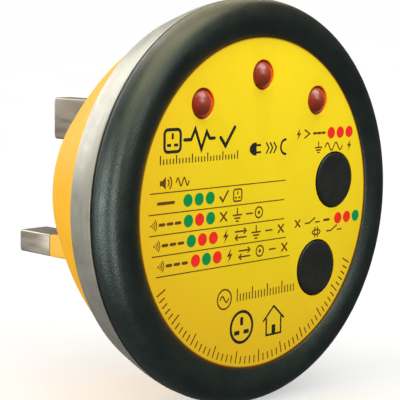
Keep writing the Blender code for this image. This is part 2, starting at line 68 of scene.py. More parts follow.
def span(node):
    """Lowest and highest corner of a CAD node, in millimetres."""
    low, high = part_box(node)
    return low / MM, high / MM


def centre_of(node):
    """(x, z) of the middle of a CAD node's box."""
    low, high = span(node)
    return (low.x + high.x) / 2, (low.z + high.z) / 2


LABEL_FRONT, LABEL_BACK = span("face_label")[0].y, span("face_label")[1].y
LABEL_RADIUS = span("face_label")[1].x
BUMPER_CREST, BUMPER_REAR = span("rubber_bumper")[0].y, span("rubber_bumper")[1].y
BUMPER_RADIUS = span("rubber_bumper")[1].x
WALL_FRONT = span("front_housing")[0].y
JOINT_RADIUS = span("rear_housing")[1].x
TONGUE_END = span("rear_housing")[0].y
TONGUE_LENGTH = 2.2
JOINT_LINE = TONGUE_END + TONGUE_LENGTH
WALL = 2.0                            # thickness of the front wall
FACE_WALL = 3.0                       # thickness of the wall that the pins pass through
SEAT_RADIUS = 32.6                    # front housing under the bumper
SEEN_RADIUS = 28.2                    # edge of the bumper's lip over the label
LAMPS = ("left", "centre", "right")
BUTTONS = ("earth_volts", "rcd")
LAMP_RADIUS = 2.5
LAMP_HOLE = 2.54                      # radius of a lamp's hole in the label
BUTTON_RADIUS = 4.85
BUTTON_HOLE = 5.08                    # radius of a button's hole in the label
HEAD_FRONT, HEAD_BACK = -4.9, -3.3    # ends of a pin's head, behind the socket face
HEAD_MARGIN = 2.0                     # how much wider than its pin a head is
PIN_EDGE = 0.32                       # rounding of a pin's long edges
HOUSING_SCREWS = ("housing_screw_1", "housing_screw_2", "housing_screw_3")
BOARD_SCREWS = ("pcb_screw_1", "pcb_screw_2", "pcb_screw_3")
CLAMP_SCREWS = ("retainer_screw_1", "retainer_screw_2")


# Outlines, as lists of 2D points

def curve(points, steps=8):
    """Points of a Catmull-Rom curve through the given points."""
    ends = [2 * Vector(points[0]) - Vector(points[1])]
    ends += [Vector(p) for p in points]
    ends += [2 * Vector(points[-1]) - Vector(points[-2])]
    path = []
    for i in range(1, len(ends) - 2):
        a, b, c, d = ends[i - 1:i + 3]
        for k in range(steps):
            t = k / steps
            path.append(0.5 * (2 * b + (c - a) * t + (2 * a - 5 * b + 4 * c - d) * t * t
                               + (3 * b - a - 3 * c + d) * t ** 3))
    return [tuple(p) for p in path] + [tuple(points[-1])]


def rounded(points, closed=False):
    """Rounds each corner given as (u, v, set-back); a plain (u, v) stays sharp."""
    path = []
    count = len(points)
    for i, point in enumerate(points):
        corner = Vector(point[:2])
        inner = closed or 0 < i < count - 1
        if len(point) == 2 or not inner:
            path.append(tuple(corner))
            continue
        before = Vector(points[i - 1][:2]) - corner
        after = Vector(points[(i + 1) % count][:2]) - corner
        start = corner + before.normalized() * min(point[2], before.length / 2)
        end = corner + after.normalized() * min(point[2], after.length / 2)
        for k in range(CORNER_STEPS + 1):
            t = k / CORNER_STEPS
            path.append(tuple((1 - t) ** 2 * start + 2 * t * (1 - t) * corner + t * t * end))
    return path


def circle(radius, count, x=0.0, z=0.0):
    turns = [math.tau * k / count for k in range(count)]
    return [(x + radius * math.cos(a), z + radius * math.sin(a)) for a in turns]


def rounded_rectangle(width, height, radius, x=0.0, z=0.0):
    points = []
    for number, (side, level) in enumerate(((1, 1), (-1, 1), (-1, -1), (1, -1))):
        corner_x, corner_z = x + side * (width / 2 - radius), z + level * (height / 2 - radius)
        for k in range(CORNER_STEPS + 1):
            angle = math.radians(90 * (number + k / CORNER_STEPS))
            points.append((corner_x + radius * math.cos(angle), corner_z + radius * math.sin(angle)))
    return points


def rotated(points, degrees, x=0.0, z=0.0):
    """Points turned about the origin, then moved to (x, z)."""
    cosine, sine = math.cos(math.radians(degrees)), math.sin(math.radians(degrees))
    return [(x + u * cosine - v * sine, z + u * sine + v * cosine) for u, v in points]


def plus_shape(length, width):
    """Outline of a cross for a screw recess."""
    a, b = length / 2, width / 2
    return [point for turn in range(4) for point in rotated([(a, -b), (a, b), (b, b)], 90 * turn)]


# Solids

def to_piece(name, shape):
    bmesh.ops.recalc_face_normals(shape, faces=shape.faces)
    mesh = bpy.data.meshes.new(name)
    shape.to_mesh(mesh)
    shape.free()
    mesh.shade_smooth()
    mesh.set_sharp_from_angle(angle=SHARP)
    piece = bpy.data.objects.new(name, mesh)
    bpy.context.scene.collection.objects.link(piece)
    return piece


def skin(shape, rings, closed=False):
    """Faces between rings of points, or a ring and a pole. Ends are capped, or joined if closed."""
    pairs = list(zip(rings, rings[1:]))
    if closed:
        pairs.append((rings[-1], rings[0]))
    for a, b in pairs:
        for k in range(max(len(a), len(b))):
            corners = [a[k % len(a)], a[(k + 1) % len(a)], b[(k + 1) % len(b)], b[k % len(b)]]
            corners = list(dict.fromkeys(corners))
            if len(corners) > 2:
                shape.faces.new(corners)
    for end in (rings[0], rings[-1]):
        if len(end) > 2 and not closed:
            shape.faces.new(end)


def add_turned(shape, outline, centre=(0.0, 0.0), segments=MEDIUM, closed=False):
    """Turns (radius, y) points about the line through centre (x, z) along Y."""
    rings = []
    for radius, y in outline:
        ends = circle(radius, segments, *centre) if radius > 1e-6 else [centre]
        rings.append([shape.verts.new(Vector((x, y, z)) * MM) for x, z in ends])
    skin(shape, rings, closed)


def turned(name, outline, centre=(0.0, 0.0), segments=MEDIUM, closed=False):
    shape = bmesh.new()
    add_turned(shape, outline, centre, segments, closed)
    return to_piece(name, shape)


def add_loft(shape, stations, closed=False):
    """Skins outlines that are given as (y, [(x, z), ...])."""
    rings = [[shape.verts.new(Vector((x, y, z)) * MM) for x, z in outline] for y, outline in stations]
    skin(shape, rings, closed)


def loft(name, stations, closed=False):
    shape = bmesh.new()
    add_loft(shape, stations, closed)
    return to_piece(name, shape)


def weld(mesh):
    """Joins the corners that a cut leaves a hair apart, so no slivers stay behind."""
    shape = bmesh.new()
    shape.from_mesh(mesh)
    bmesh.ops.remove_doubles(shape, verts=shape.verts, dist=WELD)
    bmesh.ops.dissolve_degenerate(shape, dist=WELD, edges=shape.edges)
    shape.to_mesh(mesh)
    shape.free()


def combine(piece, operation, *tools):
    """Applies a Boolean with each tool and removes the tools."""
    for tool in tools:
        modifier = piece.modifiers.new(tool.name, "BOOLEAN")
        modifier.operation = operation
        modifier.solver = "EXACT"
        modifier.object = tool
    evaluated = piece.evaluated_get(bpy.context.evaluated_depsgraph_get())
    mesh = bpy.data.meshes.new_from_object(evaluated)
    piece.modifiers.clear()
    piece.data = mesh
    for tool in tools:
        bpy.data.objects.remove(tool)
    weld(mesh)
    mesh.set_sharp_from_angle(angle=SHARP)


def bores(name, places, low, high, flare=0.0, segments=MEDIUM):
    """Round tools along Y, one for each (x, z, radius), widened by flare at the low end."""
    shape = bmesh.new()
    for x, z, radius in places:
        wide = radius + flare
        mouth = [(0.0, low - 1.0), (wide, low - 1.0), (wide, low)] if flare else [(0.0, low)]
        tube = mouth + [(radius, low + flare), (radius, high), (0.0, high)]
        add_turned(shape, tube, (x, z), segments)
    return to_piece(name, shape)


def assign(piece, material, body, slot, *nodes):
    """Gives a piece its material and body, and hides the CAD nodes that it stands for. The slot is not used.
    """
    piece.data.materials.clear()
    piece.data.materials.append(material)
    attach(piece, body)
    if nodes:
        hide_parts(*nodes)


# Materials

class Finish:
    """A node material laid out in Object coordinates, which are metres in the CAD frame."""

    def __init__(self, name, roughness=0.4, metallic=0.0, **sockets):
        self.material = bpy.data.materials.new(name)
        self.material.use_nodes = True
        self.nodes = self.material.node_tree.nodes
        self.links = self.material.node_tree.links
        self.shader = self.nodes["Principled BSDF"]
        self.shader.inputs["Roughness"].default_value = roughness
        self.shader.inputs["Metallic"].default_value = metallic
        for socket, value in sockets.items():
            self.shader.inputs[socket.replace("_", " ")].default_value = value
        self.place = self.nodes.new("ShaderNodeTexCoord").outputs["Object"]
        self.tone = None
        self.normal = None

    def texture(self, kind, size, stretch=None):
        """A pattern with features about size millimetres across. A stretch under 1 draws them out."""
        place = self.place
        if stretch:
            mapping = self.nodes.new("ShaderNodeMapping")
            mapping.inputs["Scale"].default_value = stretch
            self.links.new(place, mapping.inputs["Vector"])
            place = mapping.outputs["Vector"]
        node = self.nodes.new(kind)
        node.inputs["Scale"].default_value = 1.0 / (size * MM)
        self.links.new(place, node.inputs["Vector"])
        return node

    def noise(self, size, detail=2.0, stretch=None):
        node = self.texture("ShaderNodeTexNoise", size, stretch)
        node.inputs["Detail"].default_value = detail
        return node.outputs["Fac"]

    def cells(self, size):
        return self.texture("ShaderNodeTexVoronoi", size).outputs["Distance"]

    def compare(self, operation, vector, fixed):
        node = self.nodes.new("ShaderNodeVectorMath")
        node.operation = operation
        node.inputs[1].default_value = fixed
        self.links.new(vector, node.inputs[0])
        return node.outputs["Value"]

    def facing(self, way):
        """How far the surface faces one way, as a cosine."""
        normal = self.nodes.new("ShaderNodeTexCoord").outputs["Normal"]
        return self.compare("DOT_PRODUCT", normal, Vector(way).normalized())

    def distance(self, point):
        """Metres from a point given in millimetres."""
        return self.compare("DISTANCE", self.place, Vector(point) * MM)

    def spread(self, value, low, high, start=0.35, end=0.65):
        """Maps start to end onto low to high. The usual start and end suit a noise."""
        node = self.nodes.new("ShaderNodeMapRange")
        for socket, limit in (("From Min", start), ("From Max", end), ("To Min", low), ("To Max", high)):
            node.inputs[socket].default_value = limit
        self.links.new(value, node.inputs["Value"])
        return node.outputs["Result"]

    def blend(self, value, first, second):
        node = self.nodes.new("ShaderNodeMix")
        node.data_type = "RGBA"
        self.links.new(value, node.inputs["Factor"])
        for socket, colour in ((node.inputs["A"], first), (node.inputs["B"], second)):
            if isinstance(colour, tuple):
                socket.default_value = (*colour, 1.0)
            else:
                self.links.new(colour, socket)
        return node.outputs["Result"]

    def paint(self, tone):
        """Makes a colour output the base colour."""
        self.tone = tone
        self.links.new(tone, self.shader.inputs["Base Color"])

    def colour(self, first, second, size, **options):
        """Base colour that wanders between two tones."""
        self.paint(self.blend(self.spread(self.noise(size, **options), 0.0, 1.0), first, second))

    def worn(self, edge, low=0.52, high=0.6):
        """Takes the base colour to edge where the surface is sharply convex."""
        shape = self.nodes.new("ShaderNodeNewGeometry")
        mask = self.spread(shape.outputs["Pointiness"], 0.0, 1.0, low, high)
        self.paint(self.blend(mask, self.tone, edge))

    def rough(self, low, high, size, **options):
        self.links.new(self.spread(self.noise(size, **options), low, high), self.shader.inputs["Roughness"])

    def bump(self, height, depth, strength=1.0):
        """Adds relief of depth millimetres from a height socket."""
        node = self.nodes.new("ShaderNodeBump")
        node.inputs["Strength"].default_value = strength
        node.inputs["Distance"].default_value = depth * MM
        self.links.new(height, node.inputs["Height"])
        if self.normal:
            self.links.new(self.normal, node.inputs["Normal"])
        self.normal = node.outputs["Normal"]
        self.links.new(self.normal, self.shader.inputs["Normal"])


def moulded(name, first, second, roughness, grain, depth, mottle=9.0, **sockets):
    """Moulded plastic: two close tones, a fine grain and slightly uneven gloss."""
    finish = Finish(name, **sockets)
    finish.colour(first, second, mottle, detail=3.0)
    finish.rough(roughness - 0.05, roughness + 0.05, mottle / 3, detail=4.0)
    finish.bump(finish.noise(grain, detail=3.0), depth)
    return finish


def yellow_housing():
    return moulded("yellow_abs", (0.90, 0.44, 0.014), (0.95, 0.48, 0.019), 0.5, 0.22, 0.012,
                   Specular_IOR_Level=0.1).material


def sleeve_yellow():
    return moulded("sleeve_yellow", (0.93, 0.48, 0.018), (0.97, 0.52, 0.024), 0.45, 0.3, 0.01,
                   mottle=4.0).material


def silver_plastic():
    """Silver lacquer with fine flakes."""
    finish = moulded("silver_plastic", (0.378, 0.36, 0.29), (0.43, 0.412, 0.332), 0.38, 0.18, 0.012,
                     mottle=6.0, metallic=0.6, Specular_IOR_Level=0.5)
    flakes = finish.spread(finish.cells(0.12), 0.0, 1.0, 0.05, 0.5)
    finish.bump(flakes, 0.004, 0.5)
    return finish.material


def black_rubber():
    finish = moulded("bumper_rubber", (0.0035, 0.0055, 0.005), (0.006, 0.009, 0.008), 0.38, 0.36, 0.05,
                     mottle=7.0, Specular_IOR_Level=0.31, Specular_Tint=(0.82, 1.0, 0.92, 1.0))
    finish.bump(finish.noise(0.2), 0.03)
    return finish.material


def label_film():
    """Satin yellow film with painted shade: darker and more orange away from its upper right, and a thin
    brown painted shadow at its edge.
    """
    finish = moulded("label_film", (0.86, 0.63, 0.008), (0.90, 0.665, 0.011), 0.40, 0.35, 0.004,
                     mottle=14.0, Specular_IOR_Level=0.28)
    # Painted shade: the film turns darker and more orange away from its upper right.
    painted_shade_away = finish.spread(finish.distance((6.0, LABEL_FRONT, 10.0)), 0.0, 1.0, 18 * MM, 40 * MM)
    finish.paint(finish.blend(painted_shade_away, finish.tone, (0.87, 0.52, 0.012)))
    # Painted shadow: a thin brown band where the bumper's lip meets the film.
    edge = finish.spread(finish.distance((0.0, LABEL_FRONT, 0.0)), 0.0, 1.0, (SEEN_RADIUS - 0.5) * MM,
                         (SEEN_RADIUS - 0.2) * MM)
    finish.paint(finish.blend(edge, finish.tone, (0.13, 0.03, 0.003)))
    return finish.material


def ink(name, first, second):
    return moulded(name, first, second, 0.42, 0.2, 0.002, mottle=1.5, Specular_IOR_Level=0.28).material


def red_lens():
    """Clear red moulding with a painted glow on its right side: a brighter red colour and an emission there
    stand in for light leaving the lens.
    """
    finish = Finish("red_lens", Transmission_Weight=0.45, IOR=1.5, Emission_Strength=0.55)
    finish.colour((0.40, 0.055, 0.02), (0.48, 0.08, 0.03), 1.6)
    # Painted glow: the side that faces +X is painted bright red and made to emit, though the lens is not lit.
    painted_glow_mask = finish.spread(finish.facing((1.0, 0.0, -0.15)), 0.0, 1.0, 0.18, 0.62)
    finish.paint(finish.blend(painted_glow_mask, finish.tone, (0.85, 0.03, 0.012)))
    painted_glow_emission = finish.blend(painted_glow_mask, (0.0, 0.0, 0.0), (1.0, 0.02, 0.008))
    finish.links.new(painted_glow_emission, finish.shader.inputs["Emission Color"])
    finish.rough(0.26, 0.34, 1.2, detail=3.0)
    finish.bump(finish.noise(0.9), 0.004)
    return finish.material


def lens_cup():
    finish = Finish("lens_cup", metallic=0.7)
    finish.colour((0.62, 0.50, 0.45), (0.75, 0.62, 0.56), 0.6, detail=3.0)
    finish.rough(0.25, 0.45, 0.4)
    finish.bump(finish.noise(0.15), 0.005)
    return finish.material


def button_plastic():
    return moulded("button_plastic", (0.011, 0.012, 0.010), (0.016, 0.017, 0.014), 0.42, 0.16, 0.012,
                   mottle=3.0, Specular_IOR_Level=0.3).material


def pin_metal():
    finish = Finish("pin_metal", metallic=0.9)
    finish.colour((0.34, 0.285, 0.205), (0.43, 0.37, 0.28), 3.5, detail=4.0, stretch=(1.0, 0.25, 1.0))
    finish.worn((0.62, 0.56, 0.45))
    finish.rough(0.30, 0.46, 2.0, detail=4.0, stretch=(1.0, 0.2, 1.0))
    finish.bump(finish.noise(0.1, detail=3.0, stretch=(1.0, 0.04, 1.0)), 0.006)
    finish.bump(finish.noise(2.5), 0.01)
    return finish.material


def screw_steel():
    finish = Finish("screw_steel", metallic=1.0)
    finish.colour((0.42, 0.42, 0.41), (0.56, 0.56, 0.54), 0.8, detail=4.0)
    finish.worn((0.75, 0.75, 0.73))
    finish.rough(0.28, 0.42, 0.5, detail=3.0)
    finish.bump(finish.noise(0.12, detail=3.0), 0.006)
    return finish.material


def board_mask():
    """Solder mask over tracks: cells give the copper areas, noise the weave."""
    finish = Finish("board_mask", Coat_Weight=0.4, Coat_Roughness=0.1)
    tracks = finish.spread(finish.cells(4.2), 0.0, 1.0, 0.30, 0.34)
    finish.paint(finish.blend(tracks, (0.012, 0.12, 0.035), (0.03, 0.22, 0.07)))
    finish.rough(0.22, 0.34, 1.2)
    finish.bump(tracks, 0.03)
    finish.bump(finish.noise(0.3, detail=3.0), 0.01)
    return finish.material


def paper_white():
    finish = Finish("studio_floor", roughness=0.7)
    finish.colour((0.92, 0.92, 0.91), (0.94, 0.94, 0.93), 120.0)
    finish.bump(finish.noise(1.5, detail=3.0), 0.01)
    return finish.material


YELLOW = yellow_housing()
SLEEVE = sleeve_yellow()
SILVER = silver_plastic()
RUBBER = black_rubber()
FILM = label_film()
LENS = red_lens()
CUP = lens_cup()
BUTTON = button_plastic()
METAL = pin_metal()
STEEL = screw_steel()
BROWN_INK = ink("brown_ink", (0.12, 0.045, 0.004), (0.15, 0.058, 0.006))
BLACK_INK = ink("black_ink", (0.012, 0.012, 0.010), (0.020, 0.019, 0.016))
GREEN_INK = ink("green_ink", (0.0, 0.25, 0.055), (0.0, 0.29, 0.066))
RED_INK = ink("red_ink", (0.84, 0.021, 0.012), (0.90, 0.030, 0.018))

# Pieces inside the case: CAD slot, material, two tones, roughness, size and depth of the grain
INNER_PLASTICS = (
    ("black_epoxy", "epoxy_black", (0.015, 0.015, 0.016), (0.025, 0.025, 0.026), 0.5, 0.15, 0.01),
    ("natural_nylon", "nylon_natural", (0.70, 0.66, 0.56), (0.78, 0.75, 0.65), 0.5, 0.3, 0.01),
    ("film_capacitor", "capacitor_box", (0.66, 0.40, 0.04), (0.74, 0.47, 0.06), 0.4, 0.2, 0.01),
    ("capacitor_sleeve", "capacitor_sleeve", (0.02, 0.02, 0.07), (0.04, 0.04, 0.1), 0.3, 0.3, 0.01),
    ("varistor_coat", "varistor_coat", (0.04, 0.1, 0.32), (0.06, 0.14, 0.38), 0.4, 0.25, 0.02),
    ("resistor_coat", "resistor_coat", (0.40, 0.47, 0.53), (0.48, 0.55, 0.62), 0.5, 0.15, 0.02),
    ("fuse_body", "fuse_body", (0.55, 0.47, 0.33), (0.64, 0.56, 0.42), 0.45, 0.2, 0.01),
    ("green_insulation", "wire_green", (0.08, 0.4, 0.06), (0.12, 0.47, 0.09), 0.4, 0.3, 0.01),
    ("blue_insulation", "wire_blue", (0.02, 0.1, 0.5), (0.04, 0.14, 0.58), 0.4, 0.3, 0.01),
    ("brown_insulation", "wire_brown", (0.2, 0.08, 0.03), (0.27, 0.11, 0.045), 0.4, 0.3, 0.01),
)
INNER = {slot: moulded(*plastic).material for slot, *plastic in INNER_PLASTICS}
INNER["circuit_board"] = board_mask()
INNER["screw_steel"] = STEEL


# Housings and bumper

def face_holes(lamp_radius, button_radius):
    """(x, z, radius) of each hole for a lamp or a button."""
    holes = [(*centre_of(f"led_{side}"), lamp_radius) for side in LAMPS]
    return holes + [(*centre_of(f"{name}_button"), button_radius) for name in BUTTONS]


def pin_sections():
    """Place and section of the three pins where they leave the socket face: earth, neutral, line."""
    low, high = span("earth_pin")
    places = [(centre_of("earth_pin"), (high.x - low.x - HEAD_MARGIN, high.z - low.z - HEAD_MARGIN))]
    for side in ("neutral", "line"):
        low, high = span(f"{side}_sleeve")
        places.append((centre_of(f"{side}_sleeve"), (high.x - low.x, high.z - low.z)))
    return places


def pin_slots(clearance, low, high):
    """Tools for the three openings in the socket face, a little wider where they come out."""
    shape = bmesh.new()
    corner = 0.5
    for place, section in pin_sections():
        width, height = (side + 2 * clearance for side in section)
        narrow = rounded_rectangle(width, height, corner, *place)
        wide = rounded_rectangle(width + 2 * clearance, height + 2 * clearance, corner + clearance, *place)
        add_loft(shape, [(low, narrow), (-clearance, narrow), (0.0, wide), (high, wide)])
    return to_piece("pin_slots", shape)


def rear_shell():
    """The yellow bowl with its tongue, screw wells and pin openings."""
    bowl = curve([(20.35, -0.6), (24.4, -6.3), (28.3, -12.4), (31.6, -18.85),
                  (JOINT_RADIUS - 0.4, JOINT_LINE + 0.1)])
    outside = rounded([(0.0, 0.0), (20.05, 0.0, 0.45), bowl[0]]) + bowl[1:]
    tongue_inside, tongue_outside = 28.8, 30.2
    tongue = rounded([(JOINT_RADIUS - 0.5, JOINT_LINE), (tongue_outside, JOINT_LINE),
                      (tongue_outside, TONGUE_END, 0.2), (tongue_inside, TONGUE_END, 0.2),
                      (tongue_inside, -19.0)])
    inside = curve([(28.2, -17.2), (26.3, -12.8), (23.0, -6.8), (20.2, -FACE_WALL)], 4)
    shell = turned("rear_shell", outside + tongue + inside + [(0.0, -FACE_WALL)], segments=FINE)
    boss, pilot = 2.6, 1.2
    bosses = [(*centre_of(n), boss) for n in CLAMP_SCREWS]
    combine(shell, "UNION", bores("clamp_bosses", bosses, HEAD_FRONT, -FACE_WALL + 0.5))
    well, mouth, shank, seat = 3.05, 3.2, 1.6, -2.0
    recess = bmesh.new()
    for node in HOUSING_SCREWS:
        place = centre_of(node)
        add_turned(recess, rounded([(0.0, seat), (well, seat, 0.3), (well, -0.15), (mouth, 0.0), (mouth, 1.0),
                                    (0.0, 1.0)]), place)
        add_turned(recess, [(0.0, -4.0), (shank, -4.0), (shank, seat + 0.1), (0.0, seat + 0.1)], place)
    pilots = bores("clamp_holes", [(*centre_of(n), pilot) for n in CLAMP_SCREWS], -6.0, -1.8, segments=TINY)
    combine(shell, "DIFFERENCE", to_piece("recesses", recess), pilots, pin_slots(0.12, -FACE_WALL - 3.0, 1.0))
    assign(shell, YELLOW, "housing", "yellow_housing", "rear_housing")


def front_shell():
    """The silver cup behind the bumper, with its posts and the holes in its front wall."""
    gap = 0.05
    top = JOINT_LINE - gap
    shoulder = BUMPER_REAR + 0.28
    skirt = curve([(JOINT_RADIUS + 0.12, top - 0.15), (33.2, -22.3), (33.95, -24.8), (34.36, -26.7)], 10)
    outside = [(JOINT_RADIUS, top)] + skirt
    outside += rounded([(34.38, -26.95), (34.4, shoulder, 0.03), (SEAT_RADIUS, shoulder),
                        (SEAT_RADIUS, -28.4)])
    outside += [(32.0, -28.7), (32.0, -29.7), (SEAT_RADIUS, -30.0)]
    outside += rounded([(SEAT_RADIUS, WALL_FRONT + 0.6), (SEAT_RADIUS, WALL_FRONT, 0.3), (0.0, WALL_FRONT)])
    back = WALL_FRONT + WALL
    inside = [(0.0, back)] + rounded([(29.0, back), (30.5, back, 1.0), (30.5, top)])
    shell = turned("front_shell", outside[::-1] + inside[::-1], segments=FINE)
    post_top = span("front_housing")[1].y
    board_rest = span("main_pcb")[0].y - 0.3
    root = back - 0.5
    posts = bmesh.new()
    for nodes, radius, end in ((HOUSING_SCREWS, 3.0, post_top), (BOARD_SCREWS, 2.4, board_rest)):
        pillar = rounded([(0.0, root), (radius + 0.5, root), (radius, root + 1.6, 0.5), (radius, end, 0.15),
                          (0.0, end)])
        for node in nodes:
            add_turned(posts, pillar, centre_of(node))
    combine(shell, "UNION", to_piece("posts", posts))
    pilots = bmesh.new()
    for nodes, radius, low, high in ((HOUSING_SCREWS, 1.3, -15.0, 0.0), (BOARD_SCREWS, 1.0, -27.0, -20.0)):
        for node in nodes:
            add_turned(pilots, [(0.0, low), (radius, low), (radius, high), (0.0, high)], centre_of(node),
                       TINY)
    holes = face_holes(LAMP_HOLE + 0.08, BUTTON_HOLE + 0.02)
    combine(shell, "DIFFERENCE", bores("wall_holes", holes, WALL_FRONT - 1.0, back + 1.0),
            to_piece("pilots", pilots))
    assign(shell, SILVER, "housing", "silver_plastic", "front_housing")


def bumper_ring():
    """A rubber ring with a rounded crown, a step for the label and a bead that snaps on the housing."""
    lip = LABEL_FRONT - 0.06
    bore = SEAT_RADIUS + 0.25
    flank = rounded([(33.2, BUMPER_REAR), (34.3, BUMPER_REAR, 0.25), (BUMPER_RADIUS, -28.0, 0.3),
                     (BUMPER_RADIUS, -28.6)])
    crown = curve([(BUMPER_RADIUS, -28.6), (34.42, -29.5), (34.1, -30.6), (33.45, -31.55), (32.5, -32.2),
                   (31.3, BUMPER_CREST), (30.0, -32.35), (28.9, -31.95), (28.35, -31.6), (SEEN_RADIUS, lip)])
    step = [(LABEL_RADIUS + 0.2, lip), (LABEL_RADIUS + 0.2, WALL_FRONT - 0.1)]
    bead = [(bore, WALL_FRONT - 0.1), (bore, -29.9)]
    bead += curve([(bore, -29.7), (bore - 0.5, -29.2), (bore, -28.7)], 6)
    outline = flank + crown[1:] + step + bead + [(bore, BUMPER_REAR)]
    ring = turned("bumper_ring", outline, segments=FINE, closed=True)
    assign(ring, RUBBER, "housing", "black_rubber", "rubber_bumper")


def label_sheet():
    edge = 0.06
    section = rounded([(0.0, LABEL_BACK), (LABEL_RADIUS, LABEL_BACK), (LABEL_RADIUS, LABEL_FRONT, edge),
                       (0.0, LABEL_FRONT)])
    sheet = turned("label_sheet", section, segments=FINE)
    holes = face_holes(LAMP_HOLE, BUTTON_HOLE)
    combine(sheet, "DIFFERENCE", bores("label_holes", holes, LABEL_FRONT, LABEL_BACK + 1.0, flare=edge))
    assign(sheet, FILM, "housing", "printed_label", "face_label")


# Lamps, buttons, pins and screws

def lamp(side):
    """A lens with a flange, and its cup and leads."""
    node = f"led_{side}"
    x, z = centre_of(node)
    tip, foot = (corner.y for corner in span(node))
    radius, flange, base = LAMP_RADIUS, 2.9, tip + 8.7
    dome = [(radius * math.cos(math.radians(a)), tip + radius - radius * math.sin(math.radians(a)))
            for a in range(0, 90, 9)]
    body = rounded([(0.0, base), (flange, base, 0.1), (flange, base - 1.0, 0.15), (radius, base - 1.0),
                    dome[0]])
    lens = turned(f"{node}_lens", body + dome[1:] + [(0.0, tip)], (x, z), ROUND)
    assign(lens, LENS, "housing", "red_lens", node)
    shape = bmesh.new()
    cup, floor_y, rim_y, back_y = 1.25, tip + 4.2, tip + 3.1, tip + 4.6
    add_turned(shape, [(0.0, floor_y), (0.35, floor_y), (cup - 0.1, rim_y), (cup, rim_y), (cup, back_y),
                       (0.0, back_y)], (x - 0.2, z), SMALL)
    lead_pitch = 1.27
    for step, top in ((-lead_pitch, tip + 3.4), (0.0, tip + 4.5), (lead_pitch, tip + 3.4)):
        lead = rounded_rectangle(0.5, 0.5, 0.08, x + step, z)
        add_loft(shape, [(top, lead), (foot, lead)])
    assign(to_piece(f"{node}_leads", shape), CUP, "housing", "pin_metal")


def button(name):
    """A cap with a slightly dished top, a flange that holds it in and a stem for the switch."""
    node = f"{name}_button"
    front, back = (corner.y for corner in span(node))
    flange, seat = 6.0, back - 1.0
    stem, hollow, ceiling = 1.9, 3.6, seat - 1.4
    cap = rounded([(0.0, back), (stem, back), (stem, ceiling), (hollow, ceiling), (hollow, back),
                   (flange, back, 0.1), (flange, seat, 0.1), (BUTTON_RADIUS, seat),
                   (BUTTON_RADIUS, front + 0.08, 0.2), (BUTTON_RADIUS - 0.25, front, 0.12)])
    dish_radius, dish_depth = 4.1, 0.10
    dish = [(r, front + dish_depth * (1 - (r / dish_radius) ** 2))
            for r in (dish_radius, 3.6, 3.0, 2.3, 1.5, 0.7, 0.0)]
    piece = turned(f"{node}_cap", cap + dish, centre_of(node), ROUND)
    assign(piece, BUTTON, node, "button_plastic", node)


def blade_stations(place, section, start, end):
    """A bar with rounded long edges and a chamfered tip, whose own edges are eased."""
    point, inset, ease = 1.1, 0.75, 0.12
    shrink = [(start, 0.0), (end - point - ease, 0.0), (end - point + ease, inset * ease / point),
              (end - ease * 1.3, inset * (point - ease * 1.3) / point), (end - ease * 0.3, inset + 0.04),
              (end, inset + 0.16)]
    width, height = section
    return [(y, rounded_rectangle(width - 2 * cut, height - 2 * cut, PIN_EDGE, *place)) for y, cut in shrink]


def head_stations(place, section, low, toward=(0.0, 0.0)):
    """Solder tag, then the head that the retainer clamps."""
    ease = 0.15
    width, height = section[0] + HEAD_MARGIN, section[1] + HEAD_MARGIN
    middle = (place[0] + toward[0], place[1] + toward[1])
    tag = rounded_rectangle(3.0, 1.0, 0.2, *place)
    small = rounded_rectangle(width - 2 * ease, height - 2 * ease, 0.4, *middle)
    large = rounded_rectangle(width, height, 0.5, *middle)
    return [(low, tag), (HEAD_FRONT, tag), (HEAD_FRONT, small), (HEAD_FRONT + ease, large),
            (HEAD_BACK - ease, large), (HEAD_BACK, small)]


def pins():
    """The earth pin, and the two others with their necks in insulating sleeves."""
    (earth, earth_section), (neutral, section), (line, _) = pin_sections()
    low, high = span("earth_pin")
    stations = head_stations(earth, earth_section, low.y)
    stations += blade_stations(earth, earth_section, HEAD_BACK, high.y)
    assign(loft("earth_blade", stations), METAL, "housing", "pin_metal", "earth_pin")
    width, height = section
    wall, play, ease = 0.55, 0.1, 0.06
    bore = (width - 2 * wall, height - 2 * wall)
    for name, place, side in (("neutral", neutral, -1), ("line", line, 1)):
        low, high = span(f"{name}_pin")
        start, end = (corner.y for corner in span(f"{name}_sleeve"))
        neck = rounded_rectangle(bore[0] - 2 * play, bore[1] - 2 * play, 0.25, *place)
        stations = head_stations(place, section, low.y, (-side * 0.55, 0.45))
        stations += [(HEAD_BACK, neck), (end + play, neck)]
        stations += blade_stations(place, section, end + play, high.y)
        assign(loft(f"{name}_blade", stations), METAL, "housing", "pin_metal", f"{name}_pin")
        outer = rounded_rectangle(width, height, PIN_EDGE, *place)
        eased = rounded_rectangle(width - 2 * ease, height - 2 * ease, PIN_EDGE - 0.04, *place)
        inner = rounded_rectangle(*bore, 0.3, *place)
        tube = [(start, outer), (end - 0.08, outer), (end, eased), (end, inner), (start, inner)]
        sleeve = loft(f"{name}_insulator", tube, closed=True)
        assign(sleeve, SLEEVE, "housing", "sleeve_plastic", f"{name}_sleeve")


